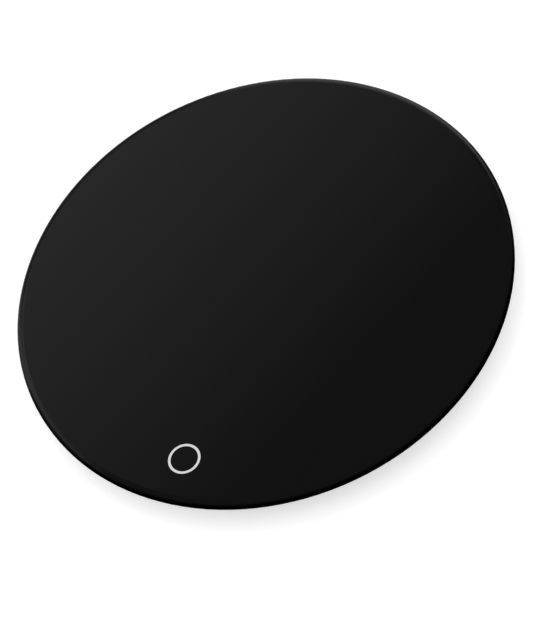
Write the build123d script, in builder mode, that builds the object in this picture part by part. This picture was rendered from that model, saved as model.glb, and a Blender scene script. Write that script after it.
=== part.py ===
"""Slim round rechargeable vanity mirror with a hidden light band and a fold-out stand.

The mirror lies on its back: +Z points out of the mirror face, -Y points to the touch ring at
the bottom of the face, and the origin is the middle of the footprint, on the surface it lies on.
Millimetres.
"""

import os
from math import cos, radians, sin, sqrt

from build123d import *

os.makedirs("parts", exist_ok=True)

# ---------------------------------------------------------------- driving sizes
face_radius = 110.0
glass_thickness = 3.0
glass_edge_width = 3.2
glass_edge_depth = 1.8
glass_arris = 0.4

band_height = 4.0
band_wall = 2.4
band_inset = 4.0
band_ledge = 2.4
band_ledge_height = 1.0

shell_depth = 6.0
cover_wall = 1.6
cover_rim_inset = 0.4
cover_flat_inset = 13.0

foot_height = 1.0
foot_recess = 0.6
foot_radius = 6.0
foot_reach = 84.0
foot_count = 4

touch_ring_radius = 6.95
touch_ring_line = 1.08
touch_ring_depth = 0.25
touch_ring_reach = 90.1
sensor_radius = 7.4
sensor_thickness = 0.4

tape_thickness = 0.6
tape_width = 9.0
deck_thickness = 1.2
chassis_inset = 6.5
chassis_wall = 2.0
chassis_skirt = 2.0
window_inset = 4.0
window_corner = 5.0
battery_window_corner = 6.0
board_window_inset = 2.0
upper_window_y = 66.0
upper_window_width = 56.0
upper_window_height = 22.0

led_count = 72
led_length = 2.8
led_height = 2.0
led_thickness = 1.2
strip_thickness = 0.4
strip_height = 2.5

screw_count = 8
screw_inset = 7.0
screw_radius = 1.15
screw_head_radius = 2.1
screw_head_height = 1.2
screw_sink = 0.3
screw_cross_length = 2.4
screw_cross_width = 0.5
screw_tip_gap = 0.6
boss_radius = 3.0
boss_roof = 0.4

hinge_y = 35.0
stand_width = 52.0
stand_thickness = 2.6
stand_inset = 0.2
stand_tip_inset = 4.0
stand_corner = 11.4
shoulder_corner = 2.0
shoulder_gap = 1.6
bay_top_corner = 1.0
pocket_corner = 1.0
pocket_overlap = 1.4
stand_bevel = 0.5
neck_half = 18.0
neck_overlap = 4.0
barrel_radius = 2.4
pin_radius = 1.25
pin_head_radius = 1.6
pin_head_height = 0.6
washer_thickness = 0.5
bracket_thickness = 1.0
bracket_length = 9.4
bracket_screw_radius = 0.9
bracket_head_radius = 1.7
bracket_head_height = 1.0
bracket_screw_length = 2.2
bracket_screw_spacing = 4.2
bracket_screw_inset = 2.5
bracket_screw_setback = 0.8
bracket_cross_length = 2.0
bracket_cross_width = 0.45
tip_pad_half = 12.0
tip_pad_depth = 4.6
tip_pad_proud = 0.25
tip_tongue = 2.5
tip_tongue_thickness = 1.0
scoop_radius = 9.0
scoop_y = -62.0
scoop_depth = 4.5

socket_width = 8.94
socket_height = 3.26
socket_length = 7.35
socket_mouth_width = 8.34
socket_mouth_height = 2.56
socket_back_wall = 0.3
socket_drop = 0.9
socket_sink = 3.4
port_tunnel = 4.0
tongue_width = 6.7
tongue_thickness = 0.7
tongue_length = 5.0
tongue_back = 1.6
pipe_radius = 1.0
pipe_offset = 8.2
pipe_lift = 0.3

board_length = 52.0
board_half = 20.0
board_thickness = 1.0
board_corner = 2.0
board_tab_half = 10.5
board_tab_length = 7.0
board_tab_overlap = 2.0
board_tab_setback = 3.0
board_hole_inset = 5.0
board_screw_radius = 0.9
board_screw_head = 1.7
board_screw_head_height = 1.1
board_screw_length = 3.0
board_boss_radius = 2.6
charge_led_side = 1.6
charge_led_height = 0.8

battery_width = 42.0
battery_length = 84.0
battery_thickness = 4.5
battery_corner = 2.0
battery_gap = 3.0
battery_pad_thickness = 0.4
battery_pad_inset = 3.0
battery_pad_end = 5.0
battery_edge = 1.2
fence_gap = 0.4
fence_outer = 1.4
fence_height = 2.0
guard_board_depth = 5.0
guard_board_thickness = 1.0
guard_board_inset = 3.0

wire_radius = 0.5
wire_pitch = 1.3
wire_bend = 5.0
deck_hole_radius = 1.5
deck_hole_gap = 0.6
led_lead_angle = -30.0
led_lead_slot = 4.4
connector_width = 7.0
connector_depth = 5.0
connector_height = 3.2
battery_lead_y = 57.0
connector_step = 0.05
connector_chamfer = 0.4
battery_plug_offset = -6.0
touch_plug_offset = -10.0
led_plug_offset = 8.0
touch_lead_drop = 1.1
touch_lead_bend = 2.0
touch_lead_jog = 4.0
touch_lead_far = 24.0
touch_lead_near = 11.0
led_lead_drop = 0.7
led_lead_run = 12.0

# ---------------------------------------------------------------- fits and clearances
running_clearance = 0.05
side_clearance = 0.6
roof_clearance = 0.5
barrel_clearance = 0.6
washer_clearance = 0.1
wall_clearance = 0.2
assembly_gap = 0.3
cut_through = 1.0

# ---------------------------------------------------------------- levels, from the bottom up
back_z = foot_height
floor_z = back_z + cover_wall
rim_z = back_z + shell_depth
seat_z = rim_z + band_height
face_z = seat_z + glass_thickness
deck_top_z = seat_z - tape_thickness
deck_z = deck_top_z - deck_thickness

stand_z = back_z + stand_inset
pin_z = stand_z + barrel_radius
bay_roof_z = stand_z + stand_thickness + roof_clearance
bay_top_z = bay_roof_z + cover_wall
pocket_roof_z = pin_z + barrel_radius + assembly_gap
pocket_top_z = pocket_roof_z + cover_wall
boss_split_z = bay_top_z + assembly_gap

port_z = rim_z - socket_drop - socket_height / 2
board_z = port_z + wall_clearance
board_top_z = board_z + board_thickness

# ---------------------------------------------------------------- radii, from the rim inwards
band_radius = face_radius - band_inset
cover_radius = band_radius - cover_rim_inset
flat_radius = face_radius - cover_flat_inset
band_inner = band_radius - band_wall
chassis_radius = band_radius - chassis_inset
screw_reach = flat_radius - screw_inset
led_z = seat_z - led_height - assembly_gap
strip_z = seat_z - strip_height - wall_clearance

cover_run = cover_radius - flat_radius
cover_bend = (cover_run**2 + shell_depth**2) / (2 * shell_depth)
bend_centre_z = back_z + cover_bend

# ---------------------------------------------------------------- places on the back
stand_half = stand_width / 2
bay_half = stand_half + side_clearance
tip_y = -(flat_radius - stand_tip_inset)
bay_tip_y = tip_y - side_clearance
shoulder_y = hinge_y - barrel_radius - shoulder_gap
pocket_low_y = shoulder_y - pocket_overlap
pocket_high_y = hinge_y + barrel_radius + barrel_clearance
ear_x = neck_half + washer_clearance + washer_thickness
bracket_end_x = ear_x + bracket_length
pocket_half = bracket_end_x + side_clearance

mouth_x = cover_radius - socket_sink
socket_back_x = mouth_x - socket_length
board_tab_x = mouth_x - board_tab_setback
board_edge_x = board_tab_x - board_tab_length
board_x = board_edge_x - board_length
battery_x = -(bay_half + cover_wall + battery_gap) - battery_width / 2
board_mid_x = (board_x + board_edge_x) / 2
battery_plug_x = board_mid_x + battery_plug_offset
touch_plug_x = board_mid_x + touch_plug_offset
led_plug_x = board_mid_x + led_plug_offset
plug_z = board_top_z + connector_height / 2
touch_lead_y = -touch_ring_reach + sensor_radius - deck_hole_radius - deck_hole_gap
touch_lead_z = deck_z - touch_lead_drop
led_lead_z = deck_z - led_lead_drop
battery_z = floor_z + battery_pad_thickness
guard_z = battery_z + battery_thickness / 2
guard_lead_z = guard_z + guard_board_thickness / 2
board_post_x = board_length - 2 * board_hole_inset
board_post_y = 2 * (board_half - board_hole_inset)
bracket_screw_x = ear_x + bracket_thickness + bracket_screw_inset
bracket_screw_places = [
    (side * (bracket_screw_x + step * bracket_screw_spacing), hinge_y - bracket_screw_setback)
    for side in (-1, 1)
    for step in (0, 1)
]
pipe_z = board_top_z + pipe_lift
pipe_x = board_tab_x + assembly_gap


def cover_outer_radius(z):
    """Outside radius of the back cover's curved side at height z."""
    return flat_radius + sqrt(cover_bend**2 - (bend_centre_z - z) ** 2)


pipe_end_x = sqrt(cover_outer_radius(pipe_z) ** 2 - pipe_offset**2)


def wire(points, bend):
    """One round lead: straight runs joined by arcs of radius bend."""
    with BuildPart() as lead:
        with BuildLine() as route:
            FilletPolyline(*points, radius=bend)
        with BuildSketch(Plane(origin=route.line @ 0, z_dir=route.line % 0)):
            Circle(wire_radius)
        sweep(path=route.line)
    return lead.part


def beside(points, distance):
    """The same route, moved sideways in plan by distance with mitred corners."""
    corners = [Vector(*point) for point in points]
    legs = [after - before for before, after in zip(corners, corners[1:])]
    sides = [Vector(leg.Y, -leg.X, 0).normalized() for leg in legs]
    before_and_after = zip(corners, sides[:1] + sides, sides + sides[-1:])
    return [
        corner + (first + second) * (distance / (1 + first.dot(second)))
        for corner, first, second in before_and_after
    ]


def bay_outline(height, grow):
    """Outline of the stand's bay at one height, larger all round by grow."""
    width = 2 * (bay_half + grow)
    length = pocket_high_y - bay_tip_y + 2 * grow
    with BuildSketch(Plane.XY.offset(height)) as outline:
        with Locations((0, (pocket_high_y + bay_tip_y) / 2)):
            Rectangle(width, length)
        by_y = outline.vertices().sort_by(Axis.Y)
        fillet(by_y[:2], stand_corner + side_clearance + grow)
        fillet(by_y[2:], bay_top_corner + grow)
    return outline.sketch


def pocket_outline(height, grow):
    """Outline of the deeper hinge pocket at one height, larger all round by grow."""
    middle = (pocket_high_y + pocket_low_y) / 2
    width = 2 * (pocket_half + grow)
    with BuildSketch(Plane.XY.offset(height)) as outline:
        with Locations((0, middle)):
            RectangleRounded(width, pocket_high_y - pocket_low_y + 2 * grow, pocket_corner + grow)
    return outline.sketch


def finish(piece, label):
    """Name the piece and write it to its own file."""
    piece.part.label = label
    export_step(piece.part, f"parts/{label}.step")


# ---------------------------------------------------------------- mirror glass
# Round pane with a wide rounded front edge and a fine arris at the back.
with BuildPart() as mirror_glass:
    with BuildSketch(Plane.XZ):
        with BuildLine():
            Polyline(
                (0, face_z),
                (0, seat_z),
                (face_radius - glass_arris, seat_z),
                (face_radius, seat_z + glass_arris),
                (face_radius, face_z - glass_edge_depth),
            )
            EllipticalCenterArc(
                (face_radius - glass_edge_width, face_z - glass_edge_depth),
                glass_edge_width,
                glass_edge_depth,
                arc_size=90,
            )
            Line((face_radius - glass_edge_width, face_z), (0, face_z))
        make_face()
    revolve(axis=Axis.Z)
    with BuildSketch(Plane.XY.offset(face_z)):
        with Locations((0, -touch_ring_reach)):
            Circle(touch_ring_radius)
            Circle(touch_ring_radius - touch_ring_line, mode=Mode.SUBTRACT)
    extrude(amount=-touch_ring_depth, mode=Mode.SUBTRACT)
finish(mirror_glass, "mirror_glass")

# ---------------------------------------------------------------- touch ring
# White enamel that fills the engraved circle flush with the face.
with BuildPart() as touch_ring:
    with BuildSketch(Plane.XY.offset(face_z)):
        with Locations((0, -touch_ring_reach)):
            Circle(touch_ring_radius)
            Circle(touch_ring_radius - touch_ring_line, mode=Mode.SUBTRACT)
    extrude(amount=-touch_ring_depth)
finish(touch_ring, "touch_ring")

# ---------------------------------------------------------------- touch sensor
# Round copper pad on a thin board, stuck to the back of the glass under the ring.
with BuildPart() as touch_sensor:
    with BuildSketch(Plane.XY.offset(seat_z)):
        with Locations((0, -touch_ring_reach)):
            Circle(sensor_radius)
    extrude(amount=-sensor_thickness)
finish(touch_sensor, "touch_sensor")

# ---------------------------------------------------------------- glass tape
# Double-sided foam ring that holds the glass to the deck, cut away round the sensor.
with BuildPart() as glass_tape:
    with BuildSketch(Plane.XY.offset(deck_top_z)):
        Circle(chassis_radius)
        Circle(chassis_radius - tape_width, mode=Mode.SUBTRACT)
        with Locations((0, -touch_ring_reach)):
            Circle(sensor_radius + assembly_gap, mode=Mode.SUBTRACT)
    extrude(amount=tape_thickness)
finish(glass_tape, "glass_tape")

# ---------------------------------------------------------------- light band
# Frosted ring under the rim of the glass, with a ledge inside that sits on the cover.
with BuildPart() as light_band:
    with BuildSketch(Plane.XZ):
        with BuildLine():
            Polyline(
                (band_radius - band_wall - band_ledge, rim_z),
                (band_radius - wall_clearance, rim_z),
                (band_radius, rim_z + band_height / 2),
                (band_radius - wall_clearance, seat_z),
                (band_inner, seat_z),
                (band_inner, rim_z + band_ledge_height),
                (band_radius - band_wall - band_ledge, rim_z + band_ledge_height),
                close=True,
            )
        make_face()
    revolve(axis=Axis.Z)
finish(light_band, "light_band")

# ---------------------------------------------------------------- chassis
# Moulded deck that carries the glass, with a skirt for the light strip and screw posts.
with BuildPart() as chassis:
    with BuildSketch(Plane.XY.offset(deck_z)):
        Circle(chassis_radius)
        with Locations((battery_x, 0)):
            RectangleRounded(
                battery_width - 2 * window_inset,
                battery_length - 2 * window_inset,
                battery_window_corner,
                mode=Mode.SUBTRACT,
            )
        with Locations((board_mid_x, 0)):
            RectangleRounded(
                board_length - 2 * window_inset,
                2 * (board_half - board_window_inset),
                window_corner,
                mode=Mode.SUBTRACT,
            )
        with Locations((0, upper_window_y)):
            RectangleRounded(
                upper_window_width, upper_window_height, window_corner, mode=Mode.SUBTRACT
            )
        with Locations((0, touch_lead_y)):
            Circle(deck_hole_radius, mode=Mode.SUBTRACT)
    extrude(amount=deck_thickness)
    with BuildSketch(Plane.XY.offset(deck_z - chassis_skirt)):
        Circle(chassis_radius)
        Circle(chassis_radius - chassis_wall, mode=Mode.SUBTRACT)
    extrude(amount=chassis_skirt)
    with BuildSketch(Plane.XY.offset(boss_split_z)):
        with PolarLocations(screw_reach, screw_count, start_angle=180 / screw_count):
            Circle(boss_radius)
    extrude(amount=deck_z - boss_split_z)
    with BuildSketch(Plane.XY.offset(boss_split_z)):
        with PolarLocations(screw_reach, screw_count, start_angle=180 / screw_count):
            Circle(screw_radius)
    extrude(amount=deck_z - boss_split_z - boss_roof, mode=Mode.SUBTRACT)
    with BuildSketch(Plane.XY.rotated((0, 0, led_lead_angle)).offset(deck_z - chassis_skirt)):
        with Locations((chassis_radius - chassis_wall / 2, 0)):
            Rectangle(chassis_wall + cut_through, led_lead_slot)
    extrude(amount=chassis_skirt, mode=Mode.SUBTRACT)
finish(chassis, "chassis")

# ---------------------------------------------------------------- light strip and its chips
# Flexible circuit stood on edge round the chassis, its chips facing outwards into the band.
with BuildPart() as led_strip:
    with BuildSketch(Plane.XY.offset(strip_z)):
        Circle(chassis_radius + strip_thickness)
        Circle(chassis_radius, mode=Mode.SUBTRACT)
    extrude(amount=strip_height)
finish(led_strip, "led_strip")

with BuildPart() as led_chips:
    with Locations(Plane.XY.offset(led_z)):
        with PolarLocations(chassis_radius + strip_thickness, led_count):
            Box(led_thickness, led_length, led_height, align=(Align.MIN, Align.CENTER, Align.MIN))
finish(led_chips, "led_chips")

# ---------------------------------------------------------------- back cover
# Moulded dish with the stand's bay, hinge pocket, finger scoop, posts and socket opening.
with BuildPart() as back_cover:
    with BuildSketch(Plane.XZ):
        with BuildLine():
            Polyline((0, rim_z), (0, back_z), (flat_radius, back_z))
            TangentArc((flat_radius, back_z), (cover_radius, rim_z), tangent=(1, 0))
            Line((cover_radius, rim_z), (0, rim_z))
        make_face()
    revolve(axis=Axis.Z)
    with BuildSketch(Plane.XZ):
        inner_bend = cover_bend - cover_wall
        inner_rim = flat_radius + sqrt(inner_bend**2 - (bend_centre_z - rim_z) ** 2)
        with BuildLine():
            Polyline((0, rim_z), (0, floor_z), (flat_radius, floor_z))
            TangentArc((flat_radius, floor_z), (inner_rim, rim_z), tangent=(1, 0))
            Line((inner_rim, rim_z), (0, rim_z))
        make_face()
    revolve(axis=Axis.Z, mode=Mode.SUBTRACT)

    # Raised walls and roofs over the bay, the hinge pocket and the finger scoop.
    extrude(bay_outline(back_z, cover_wall), amount=bay_top_z - back_z)
    extrude(pocket_outline(back_z, cover_wall), amount=pocket_top_z - back_z)
    with BuildSketch(Plane.XY.offset(back_z)):
        with Locations((bay_half, scoop_y)):
            Circle(scoop_radius + cover_wall)
    extrude(amount=scoop_depth + cover_wall)

    # Posts for the cover screws and the board, and the fence round the battery.
    with BuildSketch(Plane.XY.offset(floor_z)):
        with PolarLocations(screw_reach, screw_count, start_angle=180 / screw_count):
            Circle(boss_radius)
    extrude(amount=boss_split_z - floor_z)
    with BuildSketch(Plane.XY.offset(floor_z)):
        with Locations((board_mid_x, 0)):
            with GridLocations(board_post_x, board_post_y, 2, 2):
                Circle(board_boss_radius)
    extrude(amount=board_z - floor_z)
    with BuildSketch(Plane.XY.offset(floor_z)):
        with Locations((battery_x, 0)):
            Rectangle(battery_width + 2 * fence_outer, battery_length + 2 * fence_outer)
            Rectangle(battery_width + 2 * fence_gap, battery_length + 2 * fence_gap, mode=Mode.SUBTRACT)
    extrude(amount=fence_height)

    # Openings from below: bay, hinge pocket, finger scoop, foot recesses and screw holes.
    extrude(bay_outline(back_z, 0), amount=bay_roof_z - back_z, mode=Mode.SUBTRACT)
    extrude(pocket_outline(back_z, 0), amount=pocket_roof_z - back_z, mode=Mode.SUBTRACT)
    with BuildSketch(Plane.XY.offset(back_z)):
        with Locations((bay_half, scoop_y)):
            Circle(scoop_radius)
    extrude(amount=scoop_depth, mode=Mode.SUBTRACT)
    with BuildSketch(Plane.XY.offset(back_z)):
        with PolarLocations(foot_reach, foot_count, start_angle=180 / foot_count):
            Circle(foot_radius + wall_clearance)
    extrude(amount=foot_recess, mode=Mode.SUBTRACT)
    with BuildSketch(Plane.XY.offset(back_z)):
        with PolarLocations(screw_reach, screw_count, start_angle=180 / screw_count):
            Circle(screw_head_radius + wall_clearance)
    extrude(amount=screw_sink + screw_head_height, mode=Mode.SUBTRACT)
    with BuildSketch(Plane.XY.offset(back_z)):
        with PolarLocations(screw_reach, screw_count, start_angle=180 / screw_count):
            Circle(screw_radius + wall_clearance)
    extrude(amount=boss_split_z - back_z, mode=Mode.SUBTRACT)
    with BuildSketch(Plane.XY.offset(board_z)):
        with Locations((board_mid_x, 0)):
            with GridLocations(board_post_x, board_post_y, 2, 2):
                Circle(board_screw_radius)
    extrude(amount=-(board_screw_length - board_thickness), mode=Mode.SUBTRACT)
    with BuildSketch(Plane.XY.offset(pocket_roof_z)):
        with Locations(*bracket_screw_places):
            Circle(bracket_screw_radius)
    extrude(amount=bracket_screw_length - bracket_thickness, mode=Mode.SUBTRACT)

    # Openings in the side for the socket and the charge light.
    with BuildSketch(Plane.YZ.offset(mouth_x - port_tunnel)):
        with Locations((0, port_z)):
            SlotOverall(socket_width + 2 * wall_clearance, socket_height + 2 * wall_clearance)
    extrude(amount=port_tunnel + cover_radius - mouth_x, mode=Mode.SUBTRACT)
    with BuildSketch(Plane.YZ.offset(pipe_x)):
        with Locations((pipe_offset, pipe_z)):
            Circle(pipe_radius)
    extrude(amount=cover_radius - pipe_x, mode=Mode.SUBTRACT)
finish(back_cover, "back_cover")

# ---------------------------------------------------------------- cover screws
# Pan screws with a cross recess, driven from the back through the cover into the chassis.
with BuildPart() as cover_screws:
    head_z = back_z + screw_sink
    with BuildSketch(Plane.XY.offset(head_z)):
        with PolarLocations(screw_reach, screw_count, start_angle=180 / screw_count):
            Circle(screw_head_radius)
    extrude(amount=screw_head_height)
    with BuildSketch(Plane.XY.offset(head_z + screw_head_height)):
        with PolarLocations(screw_reach, screw_count, start_angle=180 / screw_count):
            Circle(screw_radius)
    extrude(amount=deck_z - screw_tip_gap - head_z - screw_head_height)
    with BuildSketch(Plane.XY.offset(head_z)):
        with PolarLocations(screw_reach, screw_count, start_angle=180 / screw_count):
            Rectangle(screw_cross_length, screw_cross_width)
            Rectangle(screw_cross_width, screw_cross_length)
    extrude(amount=screw_head_height / 2, mode=Mode.SUBTRACT)
finish(cover_screws, "cover_screws")

# ---------------------------------------------------------------- rubber feet
# Round stick-on feet, seated in shallow recesses in the back.
with BuildPart() as rubber_feet:
    with BuildSketch():
        with PolarLocations(foot_reach, foot_count, start_angle=180 / foot_count):
            Circle(foot_radius)
    extrude(amount=foot_height + foot_recess)
    chamfer(rubber_feet.edges().filter_by(GeomType.CIRCLE).group_by(Axis.Z)[0], foot_height / 3)
finish(rubber_feet, "rubber_feet")

# ---------------------------------------------------------------- hinge brackets
# Folded steel angles: a flange under the pocket roof and an ear that holds the pin.
for side, label in ((-1, "hinge_bracket_left"), (1, "hinge_bracket_right")):
    with BuildPart() as bracket:
        flange_x = side * (ear_x + bracket_end_x) / 2
        with BuildSketch(Plane.XY.offset(pocket_roof_z)):
            with Locations((flange_x, (pocket_low_y + pocket_high_y) / 2)):
                Rectangle(bracket_length, pocket_high_y - pocket_low_y - 2 * assembly_gap)
            with Locations(*[place for place in bracket_screw_places if place[0] * side > 0]):
                Circle(bracket_screw_radius, mode=Mode.SUBTRACT)
        extrude(amount=-bracket_thickness)
        with BuildSketch(Plane.YZ.offset(side * (ear_x + bracket_thickness / 2))):
            with Locations((hinge_y, pin_z)):
                Circle(barrel_radius - wall_clearance / 2)
            with Locations((hinge_y, (pin_z + pocket_roof_z) / 2)):
                Rectangle(2 * barrel_radius - wall_clearance, pocket_roof_z - pin_z)
            with Locations((hinge_y, pin_z)):
                Circle(pin_radius, mode=Mode.SUBTRACT)
        extrude(amount=bracket_thickness / 2, both=True)
    finish(bracket, label)

# ---------------------------------------------------------------- bracket screws
# Small pan screws up through each flange into the roof of the hinge pocket.
with BuildPart() as bracket_screws:
    flange_z = pocket_roof_z - bracket_thickness
    with BuildSketch(Plane.XY.offset(flange_z)):
        with Locations(*bracket_screw_places):
            Circle(bracket_head_radius)
    extrude(amount=-bracket_head_height)
    with BuildSketch(Plane.XY.offset(flange_z)):
        with Locations(*bracket_screw_places):
            Circle(bracket_screw_radius)
    extrude(amount=bracket_screw_length)
    with BuildSketch(Plane.XY.offset(flange_z - bracket_head_height)):
        with Locations(*bracket_screw_places):
            Rectangle(bracket_cross_length, bracket_cross_width)
            Rectangle(bracket_cross_width, bracket_cross_length)
    extrude(amount=bracket_head_height / 2, mode=Mode.SUBTRACT)
finish(bracket_screws, "bracket_screws")

# ---------------------------------------------------------------- hinge pin and washers
# Riveted pin through both ears, with a friction washer between each ear and the barrel.
ear_outer_x = ear_x + bracket_thickness
with BuildPart() as hinge_pin:
    with BuildSketch(Plane.YZ):
        with Locations((hinge_y, pin_z)):
            Circle(pin_radius)
    extrude(amount=ear_outer_x, both=True)
    for side in (-1, 1):
        with BuildSketch(Plane.YZ.offset(side * ear_outer_x)):
            with Locations((hinge_y, pin_z)):
                Circle(pin_head_radius)
        extrude(amount=side * pin_head_height)
finish(hinge_pin, "hinge_pin")

with BuildPart() as friction_washers:
    for side in (-1, 1):
        with BuildSketch(Plane.YZ.offset(side * ear_x)):
            with Locations((hinge_y, pin_z)):
                Circle(barrel_radius - wall_clearance)
                Circle(pin_radius + running_clearance, mode=Mode.SUBTRACT)
        extrude(amount=-side * washer_thickness)
finish(friction_washers, "friction_washers")

# ---------------------------------------------------------------- kickstand
# Flat alloy plate with a rolled barrel on its neck and a tongue for the rubber tip.
with BuildPart() as kickstand:
    with BuildSketch(Plane.XY.offset(stand_z)) as plate:
        with Locations((0, (tip_y + shoulder_y) / 2)):
            Rectangle(stand_width, shoulder_y - tip_y)
        by_y = plate.vertices().sort_by(Axis.Y)
        fillet(by_y[:2], stand_corner)
        fillet(by_y[2:], shoulder_corner)
        with Locations((0, (shoulder_y - neck_overlap + hinge_y) / 2)):
            Rectangle(2 * neck_half, hinge_y - shoulder_y + neck_overlap)
    extrude(amount=stand_thickness)
    outer_edges = kickstand.edges().group_by(Axis.Z)[0]
    below_shoulder = [edge for edge in outer_edges if edge.center().Y < shoulder_y - shoulder_corner]
    chamfer(below_shoulder, stand_bevel)
    with BuildSketch(Plane.YZ):
        with Locations((hinge_y, pin_z)):
            Circle(barrel_radius)
    extrude(amount=neck_half, both=True)
    with BuildSketch(Plane.YZ):
        with Locations((hinge_y, pin_z)):
            Circle(pin_radius + running_clearance)
    extrude(amount=neck_half, both=True, mode=Mode.SUBTRACT)
    for level, step in ((stand_z, 1), (stand_z + stand_thickness, -1)):
        with BuildSketch(Plane.XY.offset(level)):
            with Locations((0, tip_y)):
                Rectangle(2 * tip_pad_half, 2 * tip_pad_depth)
        extrude(amount=step * (stand_thickness - tip_tongue_thickness) / 2, mode=Mode.SUBTRACT)
    with BuildSketch(Plane.XY.offset(stand_z)):
        with Locations((0, tip_y)):
            Rectangle(2 * tip_pad_half, 2 * (tip_pad_depth - tip_tongue))
    extrude(amount=stand_thickness, mode=Mode.SUBTRACT)
finish(kickstand, "kickstand")

# ---------------------------------------------------------------- stand tip pad
# Rubber tip moulded over the tongue at the free end of the stand.
with BuildPart() as stand_tip_pad:
    pad_low_y = tip_y - tip_pad_proud
    pad_high_y = tip_y + tip_pad_depth
    with BuildSketch(Plane.XY.offset(stand_z)) as pad:
        with Locations((0, (pad_low_y + pad_high_y) / 2)):
            Rectangle(2 * tip_pad_half, pad_high_y - pad_low_y)
    extrude(amount=stand_thickness)
    chamfer(stand_tip_pad.faces().sort_by(Axis.Y)[0].edges().filter_by(Axis.X), stand_bevel)
    with BuildSketch(Plane.XY.offset(stand_z + (stand_thickness - tip_tongue_thickness) / 2)):
        with Locations((0, pad_high_y - tip_tongue / 2)):
            Rectangle(2 * tip_pad_half, tip_tongue)
    extrude(amount=tip_tongue_thickness, mode=Mode.SUBTRACT)
finish(stand_tip_pad, "stand_tip_pad")

# ---------------------------------------------------------------- battery
# Flat pouch cell on a foam pad, with its guard board folded over the terminal end.
with BuildPart() as battery_pad:
    with BuildSketch(Plane.XY.offset(floor_z)):
        with Locations((battery_x, 0)):
            Rectangle(
                battery_width - 2 * battery_pad_inset, battery_length - 2 * battery_pad_end
            )
    extrude(amount=battery_pad_thickness)
finish(battery_pad, "battery_pad")

with BuildPart() as battery:
    with BuildSketch(Plane.XY.offset(battery_z)):
        with Locations((battery_x, 0)):
            RectangleRounded(battery_width, battery_length, battery_corner)
    extrude(amount=battery_thickness)
    long_edges = battery.faces().filter_by(Axis.Z).edges()
    fillet(long_edges, battery_edge)
finish(battery, "battery")

with BuildPart() as battery_guard_board:
    with BuildSketch(Plane.XY.offset(guard_z)):
        with Locations((battery_x, battery_length / 2 + guard_board_depth / 2)):
            Rectangle(battery_width - 2 * guard_board_inset, guard_board_depth)
    extrude(amount=guard_board_thickness)
finish(battery_guard_board, "battery_guard_board")

# ---------------------------------------------------------------- control board
# Board with a tab for the socket, its parts, plugs and screws.
with BuildPart() as control_board:
    with BuildSketch(Plane.XY.offset(board_z)):
        with Locations((board_mid_x, 0)):
            RectangleRounded(board_length, 2 * board_half, board_corner)
        with Locations((board_edge_x + (board_tab_length - board_tab_overlap) / 2, 0)):
            Rectangle(board_tab_length + board_tab_overlap, 2 * board_tab_half)
        with Locations((board_tab_x, 0)):
            Rectangle(
                2 * (board_tab_x - socket_back_x + wall_clearance),
                socket_width + 2 * wall_clearance,
                mode=Mode.SUBTRACT,
            )
        with Locations((board_mid_x, 0)):
            with GridLocations(board_post_x, board_post_y, 2, 2):
                Circle(board_screw_radius, mode=Mode.SUBTRACT)
    extrude(amount=board_thickness)
finish(control_board, "control_board")

# Size and place on the board of each part: x and y from the board's middle, then its box.
board_parts = (
    (-4, 2, 6.0, 6.0, 0.9),
    (8, 6, 4.0, 5.0, 1.4),
    (14, -4, 6.0, 6.0, 2.8),
    (5, -5, 3.0, 3.0, 0.9),
    (-14, -4, 3.2, 1.6, 1.2),
    (-14, 0, 3.2, 1.6, 1.2),
    (-14, 4, 3.2, 1.6, 1.2),
    (4, 12, 2.0, 1.2, 0.8),
    (8, 12, 2.0, 1.2, 0.8),
    (20, 4, 1.6, 3.2, 1.2),
)
with BuildPart() as board_components:
    for place_x, place_y, size_x, size_y, size_z in board_parts:
        with Locations((board_mid_x + place_x, place_y, board_top_z)):
            Box(size_x, size_y, size_z, align=(Align.CENTER, Align.CENTER, Align.MIN))
    with Locations((board_tab_x, pipe_offset, board_top_z)):
        Box(
            charge_led_side,
            charge_led_side,
            charge_led_height,
            align=(Align.MAX, Align.CENTER, Align.MIN),
        )
finish(board_components, "board_components")

with BuildPart() as board_plugs:
    for plug_x, plug_side in ((battery_plug_x, 1), (touch_plug_x, -1), (led_plug_x, -1)):
        with Locations((plug_x, plug_side * (board_half - connector_depth / 2), board_top_z)):
            Box(
                connector_width,
                connector_depth,
                connector_height,
                align=(Align.CENTER, Align.CENTER, Align.MIN),
            )
    chamfer(board_plugs.edges().filter_by(Axis.Z), connector_chamfer)
finish(board_plugs, "board_plugs")

with BuildPart() as board_screws:
    with BuildSketch(Plane.XY.offset(board_top_z)):
        with Locations((board_mid_x, 0)):
            with GridLocations(board_post_x, board_post_y, 2, 2):
                Circle(board_screw_head)
    extrude(amount=board_screw_head_height)
    with BuildSketch(Plane.XY.offset(board_top_z)):
        with Locations((board_mid_x, 0)):
            with GridLocations(board_post_x, board_post_y, 2, 2):
                Circle(board_screw_radius)
    extrude(amount=-board_screw_length)
finish(board_screws, "board_screws")

# ---------------------------------------------------------------- charging socket
# Steel shell sunk into the board's tab, with the plastic tongue that carries the contacts.
with BuildPart() as socket_shell:
    with BuildSketch(Plane.YZ.offset(socket_back_x)):
        with Locations((0, port_z)):
            SlotOverall(socket_width, socket_height)
    extrude(amount=socket_length)
    with BuildSketch(Plane.YZ.offset(socket_back_x + socket_back_wall)):
        with Locations((0, port_z)):
            SlotOverall(socket_mouth_width, socket_mouth_height)
    extrude(amount=socket_length, mode=Mode.SUBTRACT)
finish(socket_shell, "socket_shell")

with BuildPart() as socket_tongue:
    with BuildSketch(Plane.YZ.offset(socket_back_x + socket_back_wall)):
        with Locations((0, port_z)):
            SlotOverall(socket_mouth_width, socket_mouth_height)
    extrude(amount=tongue_back)
    with BuildSketch(Plane.YZ.offset(socket_back_x + socket_back_wall + tongue_back)):
        with Locations((0, port_z)):
            Rectangle(tongue_width, tongue_thickness)
    extrude(amount=tongue_length)
finish(socket_tongue, "socket_tongue")

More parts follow.
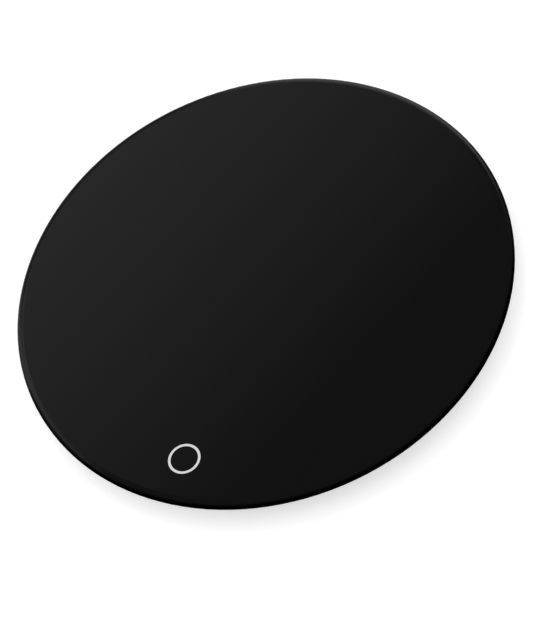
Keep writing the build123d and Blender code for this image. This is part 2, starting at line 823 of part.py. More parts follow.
# ---------------------------------------------------------------- charge light pipe
# Clear rod that carries the board's charge light out through the side of the cover.
with BuildPart() as charge_light_pipe:
    with BuildSketch(Plane.YZ.offset(pipe_x)):
        with Locations((pipe_offset, pipe_z)):
            Circle(pipe_radius)
    extrude(amount=pipe_end_x - pipe_x)
finish(charge_light_pipe, "charge_light_pipe")

# ---------------------------------------------------------------- leads
# Pairs of round wires, side by side, each pair held by its plug and its solder joints.
lead_offsets = (-wire_pitch / 2, wire_pitch / 2)

battery_route = (
    (battery_x, battery_length / 2 + guard_board_depth, guard_lead_z),
    (battery_x, battery_lead_y, guard_lead_z),
    (battery_plug_x, battery_lead_y, guard_lead_z),
    (battery_plug_x, board_half + connector_step, guard_lead_z),
)
with BuildPart() as battery_leads:
    for distance in lead_offsets:
        add(wire(beside(battery_route, distance), wire_bend))
finish(battery_leads, "battery_leads")

lead_x = cos(radians(led_lead_angle))
lead_y = sin(radians(led_lead_angle))
led_turn_radius = chassis_radius - led_lead_run
led_route = (
    (chassis_radius * lead_x, chassis_radius * lead_y, led_lead_z),
    (led_turn_radius * lead_x, led_turn_radius * lead_y, led_lead_z),
    (led_plug_x, -board_half - led_lead_run, plug_z),
    (led_plug_x, -board_half - connector_step, plug_z),
)
with BuildPart() as led_leads:
    for distance in lead_offsets:
        add(wire(beside(led_route, distance), wire_bend))
finish(led_leads, "led_leads")

with BuildPart() as touch_lead:
    add(
        wire(
            (
                (0, touch_lead_y, seat_z - sensor_thickness),
                (0, touch_lead_y, touch_lead_z),
                (touch_plug_x - touch_lead_jog, -board_half - touch_lead_far, touch_lead_z),
                (touch_plug_x, -board_half - touch_lead_near, plug_z),
                (touch_plug_x, -board_half - connector_step, plug_z),
            ),
            (touch_lead_bend, wire_bend, wire_bend),
        )
    )
finish(touch_lead, "touch_lead")
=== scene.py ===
"""Looks for a slim round light-up vanity mirror that lies on its back, glass side up."""

from math import cos, pi, radians, sin

import bpy
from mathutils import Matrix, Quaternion, Vector


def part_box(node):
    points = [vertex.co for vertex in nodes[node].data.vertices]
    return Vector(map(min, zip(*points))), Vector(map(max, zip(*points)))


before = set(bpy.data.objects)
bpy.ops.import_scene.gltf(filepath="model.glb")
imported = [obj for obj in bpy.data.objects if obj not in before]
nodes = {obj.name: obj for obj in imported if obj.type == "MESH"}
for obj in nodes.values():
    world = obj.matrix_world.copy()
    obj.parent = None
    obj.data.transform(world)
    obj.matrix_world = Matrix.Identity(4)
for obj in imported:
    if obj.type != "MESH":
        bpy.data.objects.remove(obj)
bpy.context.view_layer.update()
MM = 0.001

# ------------------------------------------------------------------ camera
# A long lens high on the front right, rolled so that the face leans to the left.
_, glass_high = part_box("mirror_glass")
glass_radius = glass_high.x
camera_target = Vector((9.84 * MM, -14.73 * MM, glass_high.z))
camera_azimuth = radians(40.78)
camera_elevation = radians(53.75)
camera_roll = radians(-24.83)
camera_distance = 870.4 * MM

camera_back = Vector((
    sin(camera_azimuth) * cos(camera_elevation),
    -cos(camera_azimuth) * cos(camera_elevation),
    sin(camera_elevation),
))
camera_data = bpy.data.cameras.new("camera")
camera_data.lens = 119.25
camera_data.clip_start = 0.05
camera_data.clip_end = 50.0
camera = bpy.data.objects.new("camera", camera_data)
camera.location = camera_target + camera_back * camera_distance
camera.rotation_mode = "QUATERNION"
camera.rotation_quaternion = (-camera_back).to_track_quat("-Z", "Y") @ Quaternion((0, 0, 1), camera_roll)
bpy.context.scene.collection.objects.link(camera)
bpy.context.scene.camera = camera
bpy.context.scene.view_settings.view_transform = "Standard"


# ------------------------------------------------------------------ table and room
# A pale matt table top under soft light that comes from all sides, with a weak key from
# the left. The glass sees a dim room with two windows beyond the object.
class Signal:
    """A node's output that can be added, multiplied and compared like a number."""

    def __init__(self, tree, socket):
        self.tree = tree
        self.socket = socket

    def __add__(self, other):
        return self.tree.math("ADD", self, other)

    def __radd__(self, other):
        return self.tree.math("ADD", other, self)

    def __sub__(self, other):
        return self.tree.math("SUBTRACT", self, other)

    def __rsub__(self, other):
        return self.tree.math("SUBTRACT", other, self)

    def __mul__(self, other):
        return self.tree.math("MULTIPLY", self, other)

    def __rmul__(self, other):
        return self.tree.math("MULTIPLY", other, self)

    def __truediv__(self, other):
        return self.tree.math("DIVIDE", self, other)

    def __pow__(self, other):
        return self.tree.math("POWER", self, other)

    def __abs__(self):
        return self.tree.math("ABSOLUTE", self)

    def fract(self):
        return self.tree.math("FRACT", self)

    def at_least(self, lowest):
        return self.tree.math("MAXIMUM", self, lowest)

    def at_most(self, highest):
        return self.tree.math("MINIMUM", self, highest)

    def ramp(self, low, high, start=0.0, end=1.0):
        """Smooth change from start to end while this goes from low to high."""
        return self.tree.node(
            "ShaderNodeMapRange",
            {"interpolation_type": "SMOOTHSTEP"},
            (self, low, high, start, end),
        )

    def fade(self, low, high):
        """1 up to low, and smoothly down to 0 at high."""
        return self.ramp(low, high, 1.0, 0.0)


class Tree:
    """A node tree under construction."""

    def __init__(self, tree):
        self.tree = tree

    def node(self, kind, settings=None, inputs=(), output=0):
        made = self.tree.nodes.new(kind)
        for name, value in (settings or {}).items():
            setattr(made, name, value)
        pairs = inputs.items() if isinstance(inputs, dict) else enumerate(inputs)
        for key, value in pairs:
            if isinstance(value, Signal):
                self.tree.links.new(value.socket, made.inputs[key])
            else:
                made.inputs[key].default_value = value
        return Signal(self, made.outputs[output])

    def math(self, operation, *operands):
        return self.node("ShaderNodeMath", {"operation": operation}, operands)

    def axes(self, vector):
        made = self.node("ShaderNodeSeparateXYZ", None, (vector,))
        outputs = made.socket.node.outputs
        return [Signal(self, outputs[index]) for index in range(3)]

    def mix(self, factor, first, second):
        """Colour between two colours."""
        made = self.tree.nodes.new("ShaderNodeMix")
        made.data_type = "RGBA"
        for key, value in ((0, factor), (6, first), (7, second)):
            if isinstance(value, Signal):
                self.tree.links.new(value.socket, made.inputs[key])
            else:
                made.inputs[key].default_value = value if key == 0 else (*value, 1.0)
        return Signal(self, made.outputs[2])


class Finish(Tree):
    """A material whose pattern is laid out in the mirror's own metres."""

    def __init__(self, name):
        self.material = bpy.data.materials.new(name)
        self.material.use_nodes = True
        super().__init__(self.material.node_tree)
        self.shader = self.tree.nodes["Principled BSDF"]
        self.place = self.node("ShaderNodeTexCoord", output="Object")

    def stretched(self, x, y, z):
        return self.node("ShaderNodeVectorMath", {"operation": "MULTIPLY"}, (self.place, (x, y, z)))

    def noise(self, size, detail=2.0, where=None):
        """Soft random pattern whose features are about size metres across."""
        inputs = {"Vector": where or self.place, "Scale": 1 / size, "Detail": detail}
        return self.node("ShaderNodeTexNoise", {"noise_dimensions": "3D"}, inputs)

    def bump(self, height, depth, under=None):
        """Normal of a surface whose relief is depth metres deep where height goes from 0 to 1."""
        inputs = {"Height": height, "Distance": depth, "Strength": 1.0}
        if under:
            inputs["Normal"] = under
        return self.node("ShaderNodeBump", None, inputs)

    def surface(self, **inputs):
        """Feed the shader; names are its sockets in lower case with underscores."""
        for name, value in inputs.items():
            socket = self.shader.inputs[name.replace("_", " ").title().replace("Ior", "IOR")]
            if isinstance(value, Signal):
                self.tree.links.new(value.socket, socket)
            elif isinstance(value, tuple):
                socket.default_value = (*value, 1.0)[: len(socket.default_value)]
            else:
                socket.default_value = value

    def cells(self, size, where=None):
        """Distance from the middle of random cells about size metres across."""
        inputs = {"Vector": where or self.place, "Scale": 1 / size}
        return self.node("ShaderNodeTexVoronoi", {"feature": "F1"}, inputs)

    def facing(self):
        """The three parts of the surface's own normal, before any bump."""
        return self.axes(self.node("ShaderNodeTexCoord", output="Normal"))

    def distance_from(self, x, y):
        """Distance in plan from a point, in metres."""
        east, north, _ = self.axes(self.place)
        return ((east - x) ** 2 + (north - y) ** 2) ** 0.5

    def cover(self, *names):
        """Put the finish on CAD nodes."""
        for name in names:
            slots = nodes[name].material_slots
            for index in range(len(slots)):
                slots[index].material = self.material


table_radius = 8.0
table_corners = 64
corner_angles = [2 * pi * corner / table_corners for corner in range(table_corners)]
floor_mesh = bpy.data.meshes.new("table_top")
floor_rim = [(table_radius * cos(angle), table_radius * sin(angle), 0.0) for angle in corner_angles]
floor_mesh.from_pydata(floor_rim, [], [list(range(table_corners))])
table_top = bpy.data.objects.new("table_top", floor_mesh)
bpy.context.scene.collection.objects.link(table_top)

table_paint = Finish("table_paint")
table_grain = table_paint.noise(4 * MM, 4.0)
table_paint.surface(
    base_color=table_paint.mix(table_grain, (0.79, 0.79, 0.79), (0.81, 0.81, 0.81)),
    roughness=0.75,
    specular_ior_level=0.0,
    emission_color=(1.0, 1.0, 1.0),
    emission_strength=0.50,
)
table_top.data.materials.append(table_paint.material)

room = bpy.data.worlds.new("room")
room.use_nodes = True
bpy.context.scene.world = room
air = Tree(room.node_tree)
east, north, up = air.axes(air.node("ShaderNodeTexCoord", output="Generated"))
level = (east * east + north * north) ** 0.5 + 0.0001


def toward(compass, wide, narrow):
    """1 towards a compass direction, +X being 0 and +Y 90, fading between two half angles."""
    along = (east * cos(radians(compass)) + north * sin(radians(compass))) / level
    return along.ramp(cos(radians(wide)), cos(radians(narrow)))


# The ceiling is brightest low down towards the left and the far side, and dim elsewhere.
dim_ceiling = 0.048
brighter_side = 0.332 * north - 0.795 * east - 0.506 * up
ceiling = (0.05 + brighter_side * 0.70).at_least(dim_ceiling)

# Two windows beyond the object, clear of the horizon and fading out below the ceiling.
main_window = 0.33
side_window = 0.24
windows = toward(105, 26, 11) * main_window + toward(171, 13, 6) * side_window
window_height = up.ramp(0.05, 0.22) * up.fade(0.42, 0.76)
walls = 0.03 + toward(130, 100, 60) * 0.06 + windows * window_height

overhead = up.ramp(0.60, 0.72)
table_glow = up.ramp(-0.12, -0.02, 0.8, 0.0)
seen_in_gloss = overhead * ceiling + (1 - overhead) * walls + table_glow

# Only gloss sees that room. The camera sees white, and matt surfaces get an even fill.
gloss = air.node("ShaderNodeLightPath", output="Is Glossy Ray")
direct = air.node("ShaderNodeLightPath", output="Is Camera Ray")
fill = 0.78
strength = direct + (1 - direct) * ((1 - gloss) * fill + gloss * seen_in_gloss)
background = room.node_tree.nodes["Background"]
room.node_tree.links.new(strength.socket, background.inputs["Strength"])
background.inputs["Color"].default_value = (1.0, 1.0, 1.0, 1.0)

# The key is broad, soft and weak, and stays out of the reflections.
key_compass = radians(140)
key_elevation = radians(62)
key_light = bpy.data.lights.new("key_light", "SUN")
key_light.angle = radians(24)
key_light.energy = 0.25
key_lamp = bpy.data.objects.new("key_light", key_light)
key_lamp.rotation_mode = "QUATERNION"
key_lamp.rotation_quaternion = Vector((
    cos(key_compass) * cos(key_elevation),
    sin(key_compass) * cos(key_elevation),
    sin(key_elevation),
)).to_track_quat("Z", "Y")
key_lamp.visible_glossy = False
bpy.context.scene.collection.objects.link(key_lamp)

# ------------------------------------------------------------------ mirror glass
# Round float glass with a dark two-way mirror coating behind it. Its front edge is ground
# round and polished; the coating stops just short of the rim, which is black. Wipe marks.
mirror_face = Finish("mirror_face")
reach = mirror_face.distance_from(0.0, 0.0)
coated = reach.fade(glass_radius - 1.8 * MM, glass_radius - 0.5 * MM)
polished = reach.fade(glass_radius - 0.9 * MM, glass_radius - 0.25 * MM)
smears = mirror_face.noise(30 * MM, 3.0)
wipes = mirror_face.noise(5 * MM, 2.0, mirror_face.stretched(0.25, 1.6, 1.0))
mirror_face.surface(
    base_color=mirror_face.mix(coated, (0.002, 0.002, 0.0022), (0.09, 0.0905, 0.094)),
    metallic=1.0,
    roughness=smears.ramp(0.45, 0.75, 0.012, 0.024) + wipes.ramp(0.5, 0.8, 0.0, 0.006),
    specular_ior_level=0.0,
    specular_tint=(0.0, 0.0, 0.0),
    coat_weight=polished,
    coat_roughness=0.015,
)
mirror_face.cover("mirror_glass")

# ------------------------------------------------------------------ touch ring
# White enamel rubbed into the engraved circle and fired, with a fine powdery grain.
ring_enamel = Finish("ring_enamel")
enamel_grain = ring_enamel.noise(0.4 * MM)
ring_enamel.surface(
    base_color=ring_enamel.mix(enamel_grain, (0.80, 0.80, 0.79), (0.88, 0.88, 0.88)),
    roughness=enamel_grain.ramp(0.3, 0.7, 0.28, 0.42),
    normal=ring_enamel.bump(enamel_grain, 0.01 * MM),
)
ring_enamel.cover("touch_ring")

# ------------------------------------------------------------------ touch sensor
# Round copper pad etched on a thin board and stuck behind the ring: an outer ring and a
# disc with a bare green gap between them, the copper dulled by handling.
pad_low, pad_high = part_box("touch_sensor")
pad_middle = (pad_low + pad_high) / 2
pad_radius = (pad_high.x - pad_low.x) / 2
pad_gap_radius = pad_radius * 0.72
sensor_foil = Finish("sensor_foil")
from_pad = sensor_foil.distance_from(pad_middle.x, pad_middle.y)
gap = abs(from_pad - pad_gap_radius).fade(0.25 * MM, 0.35 * MM)
tarnish = sensor_foil.noise(2.5 * MM, 4.0).ramp(0.4, 0.7)
copper = sensor_foil.mix(tarnish, (0.72, 0.36, 0.20), (0.42, 0.20, 0.11))
sensor_foil.surface(
    base_color=sensor_foil.mix(gap, copper, (0.02, 0.09, 0.05)),
    metallic=1 - gap,
    roughness=0.28 + tarnish * 0.25,
    normal=sensor_foil.bump(1 - gap, 0.03 * MM),
)
sensor_foil.cover("touch_sensor")

# ------------------------------------------------------------------ foam tape and pad
# Closed-cell black foam, die-cut: the ring that holds the glass and the pad under the
# battery. The cut faces show fine open cells.
foam_tape = Finish("foam_tape")
foam_cells = foam_tape.cells(0.35 * MM)
foam_tape.surface(
    base_color=foam_tape.mix(foam_cells, (0.035, 0.035, 0.036), (0.012, 0.012, 0.013)),
    roughness=0.92,
    normal=foam_tape.bump(foam_cells, 0.08 * MM),
)
foam_tape.cover("glass_tape", "battery_pad")

# ------------------------------------------------------------------ light band
# Opal acrylic ring, cast and blasted to a frosted skin that spreads the light; faint
# flow streaks run round it and its edges are a little clearer.
frosted_band = Finish("frosted_band")
frost = frosted_band.noise(0.25 * MM, 3.0)
flow = frosted_band.noise(14 * MM, 3.0, frosted_band.stretched(1.0, 1.0, 9.0))
frosted_band.surface(
    base_color=frosted_band.mix(flow, (0.80, 0.81, 0.82), (0.87, 0.875, 0.88)),
    roughness=frost.ramp(0.3, 0.7, 0.42, 0.60),
    normal=frosted_band.bump(frost, 0.012 * MM),
    ior=1.49,
    subsurface_weight=0.35,
    subsurface_radius=(1.0, 1.0, 1.0),
    subsurface_scale=2 * MM,
)
frosted_band.cover("light_band")

# ------------------------------------------------------------------ light strip
# White flexible circuit stood on edge, with tinned pads either side of every chip and a
# dark cut line after each one.
chip_count = 72


def share_from_chip(finish):
    """Distance round the ring from the middle of the nearest chip, as a share of their pitch."""
    x, y, _ = finish.axes(finish.place)
    chips_round = finish.math("ARCTAN2", y, x) / (2 * pi) * chip_count + chip_count
    return abs((chips_round + 0.5).fract() - 0.5)


flex_circuit = Finish("flex_circuit")
_, _, strip_z = flex_circuit.axes(flex_circuit.place)
strip_low, strip_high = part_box("led_strip")
strip_middle_z = (strip_low.z + strip_high.z) / 2
from_chip = share_from_chip(flex_circuit)
pad_share = 0.26
pad_band = abs(strip_z - strip_middle_z).fade(0.6 * MM, 0.7 * MM)
tinned = pad_band * abs(from_chip - pad_share).fade(0.05, 0.06)
cut_line = from_chip.ramp(0.485, 0.49)
flex_paint = flex_circuit.mix(tinned, (0.82, 0.82, 0.80), (0.70, 0.69, 0.66))
flex_circuit.surface(
    base_color=flex_circuit.mix(cut_line, flex_paint, (0.05, 0.05, 0.05)),
    metallic=tinned,
    roughness=0.5 - tinned * 0.2,
    normal=flex_circuit.bump(tinned, 0.04 * MM),
)
flex_circuit.cover("led_strip")

# ------------------------------------------------------------------ light chips
# Square white moulded frames, each filled flush with yellow phosphor on its outer face.
led_phosphor = Finish("led_phosphor")
_, _, chip_z = led_phosphor.axes(led_phosphor.place)
chip_low, chip_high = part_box("led_chips")
chip_pitch = 2 * pi * chip_high.x / chip_count
chip_side = share_from_chip(led_phosphor) * chip_pitch
in_height = abs(chip_z - (chip_low.z + chip_high.z) / 2).fade(0.62 * MM, 0.7 * MM)
in_width = chip_side.fade(0.95 * MM, 1.05 * MM)
outer_face = led_phosphor.distance_from(0.0, 0.0).ramp(chip_high.x - 0.12 * MM, chip_high.x - 0.06 * MM)
phosphor = in_height * in_width * outer_face
phosphor_grain = led_phosphor.noise(0.15 * MM, 2.0)
yellow = led_phosphor.mix(phosphor_grain, (0.80, 0.62, 0.10), (0.88, 0.74, 0.22))
led_phosphor.surface(
    base_color=led_phosphor.mix(phosphor, (0.84, 0.84, 0.82), yellow),
    roughness=0.4 + phosphor * 0.2,
    normal=led_phosphor.bump(1 - phosphor, 0.06 * MM),
)
led_phosphor.cover("led_chips")

# ------------------------------------------------------------------ chassis
# White injection-moulded deck with a fine grain and faint flow marks, which holds the
# glass, the light strip and the posts for the cover screws.
chassis_abs = Finish("chassis_abs")
deck_grain = chassis_abs.noise(0.5 * MM, 3.0)
deck_flow = chassis_abs.noise(25 * MM, 2.0)
chassis_abs.surface(
    base_color=chassis_abs.mix(deck_flow, (0.74, 0.74, 0.72), (0.80, 0.80, 0.79)),
    roughness=deck_grain.ramp(0.3, 0.7, 0.38, 0.52),
    normal=chassis_abs.bump(deck_grain, 0.015 * MM),
)
chassis_abs.cover("chassis")

# ------------------------------------------------------------------ back cover
# Charcoal ABS dish, moulded in one piece with a spark-eroded grain. The grain is rubbed
# smoother on the flat of the back and shows long, fine scuffs from the table.
cover_abs = Finish("cover_abs")
_, _, cover_up = cover_abs.facing()
flat_back = cover_up.fade(-0.999, -0.985)
spark_grain = cover_abs.cells(0.32 * MM)
fine_grain = cover_abs.noise(0.16 * MM, 2.0)
scuffs = cover_abs.noise(1.2 * MM, 3.0, cover_abs.stretched(0.06, 1.0, 1.0)).ramp(0.66, 0.74)
wear = cover_abs.noise(18 * MM, 4.0).ramp(0.4, 0.7)
charcoal = cover_abs.mix(wear, (0.0215, 0.0215, 0.0235), (0.0235, 0.0235, 0.0255))
cover_abs.surface(
    base_color=cover_abs.mix(scuffs * flat_back * 0.3, charcoal, (0.055, 0.055, 0.056)),
    roughness=0.54 - flat_back * wear * 0.04 + fine_grain * 0.08,
    normal=cover_abs.bump(spark_grain * 0.6 + fine_grain * 0.4, 0.035 * MM),
)
cover_abs.cover("back_cover")

# ------------------------------------------------------------------ black screws
# Pan-head steel screws, black zinc plated: the eight that close the cover, the four that
# hold the hinge brackets and the four on the board. Driving has rubbed the heads a little.
black_screw = Finish("black_screw")
rubbed = black_screw.noise(0.6 * MM, 4.0).ramp(0.52, 0.68)
black_screw.surface(
    base_color=black_screw.mix(rubbed, (0.030, 0.030, 0.032), (0.20, 0.20, 0.20)),
    metallic=0.9,
    roughness=0.42 - rubbed * 0.14,
    normal=black_screw.bump(black_screw.noise(0.2 * MM, 3.0), 0.008 * MM),
)
black_screw.cover("cover_screws", "bracket_screws", "board_screws")

# ------------------------------------------------------------------ feet and tip pad
# Soft moulded rubber: four discs stuck into recesses and the tip over the stand's
# tongue. Matt, slightly bloomed, with dust pressed into the face that meets the table.
foot_rubber = Finish("foot_rubber")
bloom = foot_rubber.noise(2.2 * MM, 4.0)
rubber_grain = foot_rubber.noise(0.22 * MM, 2.0)
dust = foot_rubber.noise(0.5 * MM, 3.0).ramp(0.6, 0.72)
dark_rubber = foot_rubber.mix(bloom, (0.020, 0.020, 0.021), (0.042, 0.042, 0.043))
foot_rubber.surface(
    base_color=foot_rubber.mix(dust * 0.35, dark_rubber, (0.18, 0.17, 0.16)),
    roughness=bloom.ramp(0.3, 0.7, 0.72, 0.86),
    normal=foot_rubber.bump(rubber_grain, 0.02 * MM),
)
foot_rubber.cover("rubber_feet", "stand_tip_pad")

# ------------------------------------------------------------------ hinge brackets
# Angles folded from cold-rolled steel strip and zinc plated: the strip's rolling lines
# run along X under the pale spangle of the plating.
bracket_steel = Finish("bracket_steel")
rolling = bracket_steel.noise(0.5 * MM, 4.0, bracket_steel.stretched(0.05, 1.0, 1.0))
spangle = bracket_steel.cells(1.6 * MM)
bracket_steel.surface(
    base_color=bracket_steel.mix(spangle, (0.62, 0.63, 0.65), (0.48, 0.49, 0.52)),
    metallic=1.0,
    roughness=rolling.ramp(0.3, 0.7, 0.24, 0.40),
    normal=bracket_steel.bump(rolling, 0.006 * MM),
)
bracket_steel.cover("hinge_bracket_left", "hinge_bracket_right")

# ------------------------------------------------------------------ hinge pin
# Turned stainless pin, its ends riveted over: fine turning lines run round it.
pin_steel = Finish("pin_steel")
turning = pin_steel.noise(0.12 * MM, 2.0, pin_steel.stretched(1.0, 0.05, 0.05))
pin_steel.surface(
    base_color=pin_steel.mix(turning, (0.66, 0.65, 0.63), (0.56, 0.55, 0.54)),
    metallic=1.0,
    roughness=turning.ramp(0.3, 0.7, 0.16, 0.28),
    normal=pin_steel.bump(turning, 0.003 * MM),
)
pin_steel.cover("hinge_pin")

# ------------------------------------------------------------------ friction washers
# Stamped phosphor bronze rings between ear and barrel, darkened where the grease sat.
washer_bronze = Finish("washer_bronze")
grease = washer_bronze.noise(0.9 * MM, 4.0).ramp(0.42, 0.62)
washer_bronze.surface(
    base_color=washer_bronze.mix(grease, (0.66, 0.42, 0.20), (0.30, 0.17, 0.08)),
    metallic=1.0,
    roughness=0.26 + grease * 0.22,
    normal=washer_bronze.bump(washer_bronze.noise(0.2 * MM), 0.004 * MM),
)
washer_bronze.cover("friction_washers")

# ------------------------------------------------------------------ kickstand
# Aluminium plate, linished along its length and anodised graphite. The bevel round its
# outer face was cut after anodising and is bright; fingers have polished the edges.
stand_alloy = Finish("stand_alloy")
_, _, plate_up = stand_alloy.facing()
bevel = abs(abs(plate_up) - 0.707).fade(0.02, 0.05) * plate_up.fade(-0.1, 0.1)
linishing = stand_alloy.noise(0.35 * MM, 5.0, stand_alloy.stretched(1.0, 0.02, 1.0))
blotch = stand_alloy.noise(16 * MM, 3.0)
graphite = stand_alloy.mix(blotch, (0.112, 0.115, 0.122), (0.122, 0.125, 0.132))
stand_alloy.surface(
    base_color=stand_alloy.mix(bevel, graphite, (0.70, 0.71, 0.72)),
    metallic=1.0,
    roughness=linishing.ramp(0.3, 0.7, 0.30, 0.44) - bevel * 0.12,
    normal=stand_alloy.bump(linishing, 0.008 * MM),
)
stand_alloy.cover("kickstand")

# ------------------------------------------------------------------ battery
# Flat pouch cell in a silver laminate: soft creases over the body and a row of fine
# embossed ribs along the sealed terminal end.
_, battery_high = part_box("battery")
pouch_foil = Finish("pouch_foil")
_, pouch_y, _ = pouch_foil.axes(pouch_foil.place)
creases = pouch_foil.noise(6 * MM, 4.0, pouch_foil.stretched(1.0, 0.5, 1.0))
seal = pouch_y.ramp(battery_high.y - 4 * MM, battery_high.y - 3.6 * MM)
ribs = (pouch_y / (0.8 * MM)).fract().ramp(0.3, 0.7)
pouch_foil.surface(
    base_color=pouch_foil.mix(creases, (0.60, 0.61, 0.63), (0.72, 0.73, 0.74)),
    metallic=0.85,
    roughness=creases.ramp(0.3, 0.7, 0.26, 0.42),
    normal=pouch_foil.bump(seal * ribs, 0.05 * MM, pouch_foil.bump(creases, 0.2 * MM)),
)
pouch_foil.cover("battery")

# ------------------------------------------------------------------ boards
# Green glass-epoxy: the control board and the strip that guards the battery. Copper
# tracks run square to the edges under the mask and end in small tinned vias.
board_mask = Finish("board_mask")
board_x, board_y, _ = board_mask.axes(board_mask.place)
track_pitch = 1.6 * MM
lane = board_mask.cells(9 * MM, board_mask.stretched(1.0, 1.0, 0.0)).ramp(0.45, 0.5)
along_x = abs((board_y / track_pitch).fract() - 0.5).fade(0.14, 0.18)
along_y = abs((board_x / track_pitch).fract() - 0.5).fade(0.14, 0.18)
tracks = lane * along_x + (1 - lane) * along_y
vias = board_mask.cells(3.2 * MM, board_mask.stretched(1.0, 1.0, 0.0)).fade(0.09, 0.11)
mask_paint = board_mask.mix(tracks, (0.006, 0.075, 0.036), (0.014, 0.13, 0.062))
board_mask.surface(
    base_color=board_mask.mix(vias, mask_paint, (0.66, 0.65, 0.62)),
    metallic=vias,
    roughness=0.34 + board_mask.noise(0.8 * MM) * 0.1,
    normal=board_mask.bump(tracks + vias, 0.03 * MM),
)
board_mask.cover("control_board", "battery_guard_board")

# ------------------------------------------------------------------ board components
# Black epoxy packages with a blasted skin; the small ones have tinned end caps at the
# level of the solder, and a thin fillet of solder runs round every foot.
parts_low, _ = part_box("board_components")
chip_resin = Finish("chip_resin")
_, _, part_z = chip_resin.axes(chip_resin.place)
solder = part_z.fade(parts_low.z + 0.22 * MM, parts_low.z + 0.3 * MM)
blasted = chip_resin.noise(0.18 * MM, 3.0)
resin = chip_resin.mix(blasted, (0.016, 0.016, 0.017), (0.030, 0.030, 0.031))
chip_resin.surface(
    base_color=chip_resin.mix(solder, resin, (0.66, 0.66, 0.65)),
    metallic=solder,
    roughness=0.6 - solder * 0.3,
    normal=chip_resin.bump(blasted, 0.01 * MM),
)
chip_resin.cover("board_components")

# ------------------------------------------------------------------ plugs
# Cream nylon connector housings, slightly waxy, with a faint moulded grain.
plug_nylon = Finish("plug_nylon")
waxy = plug_nylon.noise(1.2 * MM, 3.0)
plug_nylon.surface(
    base_color=plug_nylon.mix(waxy, (0.74, 0.71, 0.62), (0.80, 0.78, 0.70)),
    roughness=waxy.ramp(0.3, 0.7, 0.36, 0.50),
    normal=plug_nylon.bump(plug_nylon.noise(0.3 * MM), 0.01 * MM),
    subsurface_weight=0.1,
    subsurface_scale=1 * MM,
)
plug_nylon.cover("board_plugs")

# ------------------------------------------------------------------ charging socket
# Drawn steel shell, nickel plated, with draw lines along the way the plug goes in, and a
# black moulded tongue whose gold-plated contacts lie side by side on both faces.
socket_steel = Finish("socket_steel")
draw_lines = socket_steel.noise(0.2 * MM, 3.0, socket_steel.stretched(0.04, 1.0, 1.0))
socket_steel.surface(
    base_color=socket_steel.mix(draw_lines, (0.62, 0.62, 0.62), (0.50, 0.50, 0.51)),
    metallic=1.0,
    roughness=draw_lines.ramp(0.3, 0.7, 0.18, 0.32),
    normal=socket_steel.bump(draw_lines, 0.005 * MM),
)
socket_steel.cover("socket_shell")

tongue_low, tongue_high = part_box("socket_tongue")
contact_pitch = 0.5 * MM
tongue_resin = Finish("tongue_resin")
tongue_x, tongue_y, _ = tongue_resin.axes(tongue_resin.place)
_, _, tongue_up = tongue_resin.facing()
stripe = abs((tongue_y / contact_pitch).fract() - 0.5).fade(0.24, 0.28)
in_row = abs(tongue_y).fade(2.9 * MM, 3.0 * MM)
on_blade = tongue_x.ramp(tongue_low.x + 2 * MM, tongue_low.x + 2.1 * MM)
short_of_tip = tongue_x.fade(tongue_high.x - 0.6 * MM, tongue_high.x - 0.5 * MM)
contacts = stripe * in_row * on_blade * short_of_tip * abs(tongue_up).ramp(0.9, 0.95)
tongue_resin.surface(
    base_color=tongue_resin.mix(contacts, (0.020, 0.020, 0.021), (0.83, 0.62, 0.26)),
    metallic=contacts,
    roughness=0.48 - contacts * 0.24 + tongue_resin.noise(0.3 * MM) * 0.06,
    normal=tongue_resin.bump(contacts, 0.01 * MM),
)
tongue_resin.cover("socket_tongue")

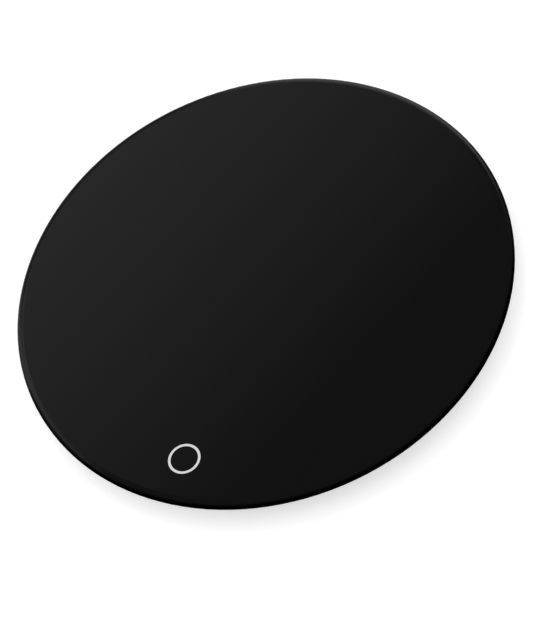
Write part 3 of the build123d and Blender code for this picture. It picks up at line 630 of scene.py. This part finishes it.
# ------------------------------------------------------------------ charge light pipe
# Clear acrylic rod pressed into the cover, its outer end blasted so that the charge light
# shows evenly.
light_pipe = Finish("light_pipe")
pipe_frost = light_pipe.noise(0.12 * MM, 2.0)
light_pipe.surface(
    base_color=light_pipe.mix(pipe_frost, (0.78, 0.80, 0.82), (0.88, 0.89, 0.90)),
    roughness=pipe_frost.ramp(0.3, 0.7, 0.34, 0.48),
    normal=light_pipe.bump(pipe_frost, 0.006 * MM),
    ior=1.49,
    transmission_weight=0.6,
)
light_pipe.cover("charge_light_pipe")

# ------------------------------------------------------------------ battery leads
# Two silicone-sleeved wires side by side round a U from the battery to its plug: the
# inner one is red and the outer one black. Soft and slightly dusty.
leads_low, leads_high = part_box("battery_leads")
lead_pair_half = 1.15 * MM
lead_bend = 5 * MM
u_half = (leads_high.x - leads_low.x) / 2 - lead_pair_half
u_middle = (leads_high.x + leads_low.x) / 2
u_top = leads_high.y - lead_pair_half
lead_sleeve = Finish("lead_sleeve")
lead_x, lead_y, _ = lead_sleeve.axes(lead_sleeve.place)
past_side = abs(lead_x - u_middle) - (u_half - lead_bend)
past_top = lead_y - (u_top - lead_bend)
round_corner = (past_side.at_least(0.0) ** 2 + past_top.at_least(0.0) ** 2) ** 0.5
straight = lead_sleeve.math("MAXIMUM", past_side, past_top).at_most(0.0)
outer_lead = (round_corner + straight - lead_bend).ramp(-0.05 * MM, 0.05 * MM)
sleeve_dust = lead_sleeve.noise(1.5 * MM, 3.0)
lead_sleeve.surface(
    base_color=lead_sleeve.mix(outer_lead, (0.42, 0.018, 0.014), (0.016, 0.016, 0.017)),
    roughness=sleeve_dust.ramp(0.3, 0.7, 0.44, 0.60),
    normal=lead_sleeve.bump(lead_sleeve.noise(0.3 * MM), 0.01 * MM),
)
lead_sleeve.cover("battery_leads")

# ------------------------------------------------------------------ light and touch leads
# The same silicone-sleeved wire, in white, to the light strip and to the touch pad.
lead_white = Finish("lead_white")
white_dust = lead_white.noise(1.5 * MM, 3.0)
lead_white.surface(
    base_color=lead_white.mix(white_dust, (0.72, 0.72, 0.70), (0.80, 0.80, 0.79)),
    roughness=white_dust.ramp(0.3, 0.7, 0.44, 0.60),
    normal=lead_white.bump(lead_white.noise(0.3 * MM), 0.01 * MM),
)
lead_white.cover("led_leads", "touch_lead")
